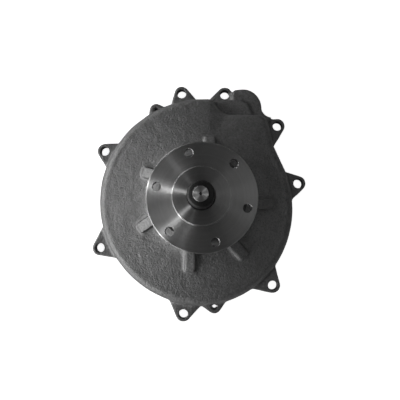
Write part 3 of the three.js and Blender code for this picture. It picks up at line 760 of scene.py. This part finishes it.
BALL_RADIUS = 3.6
BALL_COUNT = 8
BALL_PITCH_RADIUS = 16.9
BALL_ROWS = {"rear": 42.6, "front": 54.4}
RACE_RADIUS = 3.9
SHAFT_RACE_RADIUS = 14.6
SHAFT_TAIL = [(0, 2.5), (7, 2.5), (8, 3.5), (8, 30.5), (12, 31.5), (12, 36), (SHAFT_RACE_RADIUS, 36)]
SHAFT_NOSE = [
    (SHAFT_RACE_RADIUS, 61), (11.3, 61), (11.3, 109.0), (11.1, 109.6), (9.9, 111.0), (9.4, 111.25),
    (6.7, 111.6), (6.3, 112.0), (6.2, 113.0), (6.0, 113.2), (1.2, 113.2), (0, 112.2),
]
SLEEVE_RADII = (19.3, 26)
SLEEVE_HEIGHTS = (36.3, 61)
SLEEVE_CHAMFER = 0.6
SEAL_THICKNESS = 1.1
SEAL_HEIGHTS = {"rear": 36.3, "front": 59.6}
CAGE_RADII = (15.6, 18.2)
CAGE_HALF_HEIGHT = 4.7
CAGE_POCKET_RADIUS = 3.95


def unit(step):
    return step / np.linalg.norm(step)


def eased(profile, size):
    """The profile with its corners rounded off by up to the given size."""
    points = [np.array(p, float) for p in profile]
    line = []
    for before, corner, after in zip(points[-1:] + points[:-1], points, points[1:] + points[:1]):
        reach = min(size, np.linalg.norm(before - corner) / 3, np.linalg.norm(after - corner) / 3)
        start, end = corner + unit(before - corner) * reach, corner + unit(after - corner) * reach
        line += [start, *quadratic(start, corner, end, 4)]
    return line


def turned_ring(name, profile, ease, material, slot, body, node):
    piece = flip_outward(lathe(name, eased(profile, ease), ROUND_SIDES))
    shade(piece)
    return dress(piece, material, slot, body, node)


def race(row_height, surface, side, steps=14):
    """The ball groove's profile. side is -1 in the shaft and 1 in the sleeve."""
    reach = math.acos(abs(surface - BALL_PITCH_RADIUS) / RACE_RADIUS)
    return [
        (BALL_PITCH_RADIUS + side * RACE_RADIUS * math.cos(turn), row_height + RACE_RADIUS * math.sin(turn))
        for turn in np.linspace(-reach, reach, steps)
    ]


def sleeve():
    (inner, outer), (low, high) = SLEEVE_RADII, SLEEVE_HEIGHTS
    edge = SLEEVE_CHAMFER
    profile = [(inner, low), (outer - edge, low), (outer, low + edge)]
    profile += [(outer, high - edge), (outer - edge, high)]
    front, rear = race(BALL_ROWS["front"], inner, 1), race(BALL_ROWS["rear"], inner, 1)
    profile += [(inner, high), *front[::-1], *rear[::-1]]
    piece = flip_outward(lathe("bearing_outer_sleeve", profile, FINE_SIDES))
    shade(piece, TURNED_SHARP_ANGLE)
    dress(piece, BEARING_STEEL, "bearing_steel", "housing", "bearing_sleeve")


def bearing_seal(row):
    """A rubber seal with a moulded groove and a thin lip towards the shaft."""
    low = SEAL_HEIGHTS[row]
    high = low + SEAL_THICKNESS
    inner, outer = SHAFT_RACE_RADIUS + 0.4, SLEEVE_RADII[0] - 0.15
    profile = [(inner, low + 0.2), (15.6, low), (outer, low), (outer, high), (18.5, high), (18.2, high - 0.3)]
    profile += [(16.6, high - 0.3), (16.3, high), (15.6, high), (inner, high - 0.4)]
    name = f"{row}_seal_lip"
    turned_ring(name, profile, 0.1, BLACK_RUBBER, "black_rubber", "housing", f"{row}_bearing_seal")


def sphere(name, radius, height, place, segments=40):
    turns = np.linspace(-math.pi / 2, math.pi / 2, segments // 2 + 1)[1:-1]
    arc = [(radius * math.cos(turn), height + radius * math.sin(turn)) for turn in turns]
    return flip_outward(lathe(name, [(0, height - radius), *arc, (0, height + radius)], segments, place))


def ball_row(row, height):
    body = f"{row}_ball_row"
    places = [polar(i * 360 / BALL_COUNT, BALL_PITCH_RADIUS) for i in range(BALL_COUNT)]
    for i, place in enumerate(places):
        ball = sphere(f"{row}_steel_ball_{i + 1}", BALL_RADIUS, height, place)
        shade(ball)
        dress(ball, BEARING_STEEL, "bearing_steel", body, f"{row}_ball_{i + 1}")
    inner, outer = CAGE_RADII
    low, high = height - CAGE_HALF_HEIGHT, height + CAGE_HALF_HEIGHT
    band = eased([(inner, low), (outer, low), (outer, high), (inner, high)], 0.4)
    cage = flip_outward(lathe(f"{row}_nylon_cage", band, FINE_SIDES))
    cut(cage, [sphere("pocket", CAGE_POCKET_RADIUS, height, place) for place in places])
    shade(cage)
    dress(cage, CAGE_NYLON, "cage_nylon", body, f"{row}_ball_cage")


shaft()
sleeve()
for row_name, row_place in BALL_ROWS.items():
    bearing_seal(row_name)
    ball_row(row_name, row_place)


# ---------------------------------------------------------------- shaft seal and slinger

SLINGER = [(12.3, 32.8), (17.5, 32.8), (17.5, 33.6), (14, 34.8), (12.3, 34.8)]
SEAT_BOOT = [(8.3, 14.4), (13.6, 14.4), (13.6, 18.2), (12.5, 18.2), (12.5, 15.6), (8.3, 15.6)]
SEAT = [(8.6, 15.9), (12.2, 15.9), (12.2, 19.8), (8.6, 19.8)]
CARBON = [(9, 20.1), (12.2, 20.1), (12.2, 23.4), (9, 23.4)]
RETAINER = [(12.5, 21), (13.4, 21), (13.4, 22.7), (16.2, 22.7), (16.2, 23.4), (12.5, 23.4)]
BELLOWS = [
    (9.4, 23.7), (12.8, 23.7), (12.8, 24.9), (11.6, 25.6), (12.8, 26.3), (11.6, 27), (12.8, 27.7),
    (12.8, 29.2), (9.4, 29.2), (9.4, 27.7), (10.2, 27), (9.4, 26.3), (10.2, 25.6), (9.4, 24.9),
]
SEAL_CUP = [
    (17, 21.4), (20.5, 21.4), (20.5, 22.1), (17.85, 22.1),
    (17.85, 30.6), (9.6, 30.6), (9.6, 29.6), (17, 29.6),
]
SPRING_RADIUS = 15
SPRING_WIRE_RADIUS = 0.65
SPRING_SPAN = (24.6, 28.6)
SPRING_TURNS = 3
SPRING_STEPS = 60


def spring():
    rings = []
    for share in np.linspace(0, 1, SPRING_TURNS * SPRING_STEPS + 1):
        turn = share * SPRING_TURNS * 360
        height = SPRING_SPAN[0] + share * (SPRING_SPAN[1] - SPRING_SPAN[0])
        section = [polar(side, SPRING_WIRE_RADIUS) for side in range(0, 360, 24)]
        rings.append([(*polar(turn, SPRING_RADIUS + x), height + z) for x, z in section])
    piece = flip_outward(loft("seal_wire_spring", rings))
    shade(piece)
    return dress(piece, SPRING_STEEL, "spring_steel", "housing", "seal_spring")


def shortened(piece):
    """Gives the piece a mesh of its own."""
    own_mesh(piece)


def shaft_seal():
    rubber, brass = (BLACK_RUBBER, "black_rubber"), (SEAL_BRASS, "seal_brass")
    graphite = (GRAPHITE, "carbon_graphite")
    turned_ring("slinger_ring", SLINGER, 0.25, *rubber, "rotor", "slinger")
    turned_ring("rubber_seat_boot", SEAT_BOOT, 0.25, *rubber, "rotor", "seal_seat_boot")
    turned_ring("ceramic_seat", SEAT, 0.12, CERAMIC, "ceramic", "rotor", "seal_seat")
    turned_ring("carbon_face_ring", CARBON, 0.15, *graphite, "seal_face", "seal_carbon_ring")
    turned_ring("pressed_retainer", RETAINER, 0.2, *brass, "seal_face", "seal_spring_retainer")
    turned_ring("pressed_seal_cup", SEAL_CUP, 0.3, *brass, "housing", "seal_cup")
    bellows = turned_ring("rubber_bellows", BELLOWS, 0.3, *rubber, "housing", "seal_bellows")
    shortened(bellows)
    shortened(spring())


shaft_seal()


# ---------------------------------------------------------------- impeller

IMPELLER_RADIUS = 62
IMPELLER_CORE = [
    (6, 3), (13.5, 3), (15.5, 5), (15.5, 9.5), (30, 9.5), (32, 11.5), (32, 25), (IMPELLER_RADIUS, 25),
    (IMPELLER_RADIUS, 28), (28.5, 28), (27, 26.5), (27, 14.1), (6, 14.1),
]
IMPELLER_BORE = 8.15
VANE_COUNT = 7
VANE_HEIGHTS = (5, 25.6)
VANE_RADII = (31, 61)
VANE_THICKNESS = 3.2
VANE_SWEEP = 58
VANE_TIP_GROWTH = 0.6
IMPELLER_VOXEL = 0.8
IMPELLER_ROUNDS = 5


def vane_outline(turn):
    """A vane that sweeps backwards, thickens outwards and has a rounded nose."""
    inner, outer = VANE_RADII
    sides = {1: [], -1: []}
    for share in np.linspace(0, 1, 24):
        radius = inner + share * (outer - inner)
        half = VANE_THICKNESS / 2 * (1 + share * VANE_TIP_GROWTH) * min(1, 0.45 + share * 8)
        for side in sides:
            sweep = VANE_SWEEP * share * (2 - share) / 2
            sides[side].append(polar(turn - sweep + math.degrees(side * half / radius), radius))
    return sides[-1] + sides[1][::-1]


def impeller():
    wheel = flip_outward(lathe("cast_impeller", IMPELLER_CORE, FINE_SIDES))
    vanes = [prism("vane", vane_outline(i * 360 / VANE_COUNT), *VANE_HEIGHTS) for i in range(VANE_COUNT)]
    join(wheel, [flip_outward(vane) for vane in vanes])
    remesh = wheel.modifiers.new("remesh", "REMESH")
    remesh.mode = "VOXEL"
    remesh.voxel_size = IMPELLER_VOXEL * MM
    evaluated(wheel)
    fillet(wheel.data, IMPELLER_ROUNDS)
    cast_skin(wheel.data)
    cut(wheel, [flip_outward(rod("bore", IMPELLER_BORE, 0, 30, BORE_SIDES))])
    shade(wheel)
    dress(wheel, CAST_WHEEL, "cast_iron_impeller", "rotor", "impeller")


impeller()


# ---------------------------------------------------------------- floor and light


FLOOR_HALF_SIZE = 3.0
FLOOR_DROP = 0.0003
PALE = 0.95
WORLD_LIGHT = 0.045
AIM_HEIGHT = 0.05

# Azimuth and power of the lights; strips have a width too.
LOW_BOXES = [(120, 1.4), (150, 1.7), (185, 1.1), (210, 4.2)]
EDGE_BOXES = [(130, 2.5), (165, 6.0), (200, 8.0), (238, 5.0)]
STRIPS = [(128, 0.04, 0.6), (163, 0.07, 6.0), (218, 0.1, 5.2), (243, 0.04, 0.5)]
HIGH_BOXES = [(0, 0.36), (30, 0.4), (60, 0.12), (150, 0.22), (180, 0.25), (330, 0.22)]


def make_floor():
    """A pale surface like a lit table, so that the pump stands out against it."""
    half, height = FLOOR_HALF_SIZE, -FLOOR_DROP
    mesh = bpy.data.meshes.new("floor")
    corners = [(-half, -half, height), (half, -half, height), (half, half, height), (-half, half, height)]
    mesh.from_pydata(corners, [], [(0, 1, 2, 3)])
    floor = bpy.data.objects.new("floor", mesh)
    bpy.context.scene.collection.objects.link(floor)
    s = Shader("pale_floor")
    seen = s.node("ShaderNodeLightPath").outputs["Is Camera Ray"]
    s.finish(
        Base_Color=(0.85, 0.85, 0.85, 1.0),
        Roughness=0.8,
        Specular_IOR_Level=0.0,
        Emission_Color=(1.0, 1.0, 1.0, 1.0),
        Emission_Strength=s.ramp(seen, 0, 1, 0.0, PALE),
    )
    mesh.materials.append(s.material)


def soft_light(name, azimuth, elevation, distance, width, height, power):
    """A rectangular soft light that faces the pump from the given direction."""
    light = bpy.data.lights.new(name, "AREA")
    light.shape = "RECTANGLE"
    light.size, light.size_y, light.energy = width, height, power
    lamp = bpy.data.objects.new(name, light)
    bpy.context.scene.collection.objects.link(lamp)
    a, e = math.radians(azimuth), math.radians(elevation)
    away = Vector((math.cos(a) * math.cos(e), math.sin(a) * math.cos(e), math.sin(e)))
    lamp.location = AXIS + Vector((0, 0, AIM_HEIGHT)) + away * distance
    lamp.rotation_euler = away.to_track_quat("Z", "Y").to_euler()


def make_world():
    """Pale behind the floor to the eye, and dim as light."""
    world = bpy.data.worlds.new("studio")
    world.use_nodes = True
    bpy.context.scene.world = world
    nodes, links = world.node_tree.nodes, world.node_tree.links
    seen = nodes.new("ShaderNodeLightPath").outputs["Is Camera Ray"]
    level = nodes.new("ShaderNodeMapRange")
    links.new(seen, level.inputs["Value"])
    level.inputs["To Min"].default_value = WORLD_LIGHT
    level.inputs["To Max"].default_value = PALE
    nodes["Background"].inputs["Color"].default_value = (1.0, 1.0, 1.0, 1.0)
    links.new(level.outputs["Result"], nodes["Background"].inputs["Strength"])


def make_lights():
    """Low boxes light the dome from the left and edge boxes its shoulder, narrow strips draw the rays
    on the turned hub, and high dim boxes fill the rest."""
    for azimuth, power in LOW_BOXES:
        soft_light(f"low_box_{azimuth}", azimuth, 8, 1.9, 1.0, 0.35, power)
    for azimuth, power in EDGE_BOXES:
        soft_light(f"edge_box_{azimuth}", azimuth, 2.5, 1.9, 1.0, 0.12, power)
    for azimuth, width, power in STRIPS:
        soft_light(f"strip_{azimuth}", azimuth, 26, 1.6, width, 0.7, power)
    for azimuth, power in HIGH_BOXES:
        soft_light(f"high_box_{azimuth}", azimuth, 55, 1.4, 0.7, 0.6, power)
    soft_light("top_box", 0, 89, 1.4, 0.9, 0.9, 0.1)


make_floor()
make_world()
make_lights()
bpy.context.scene.view_settings.view_transform = "Standard"
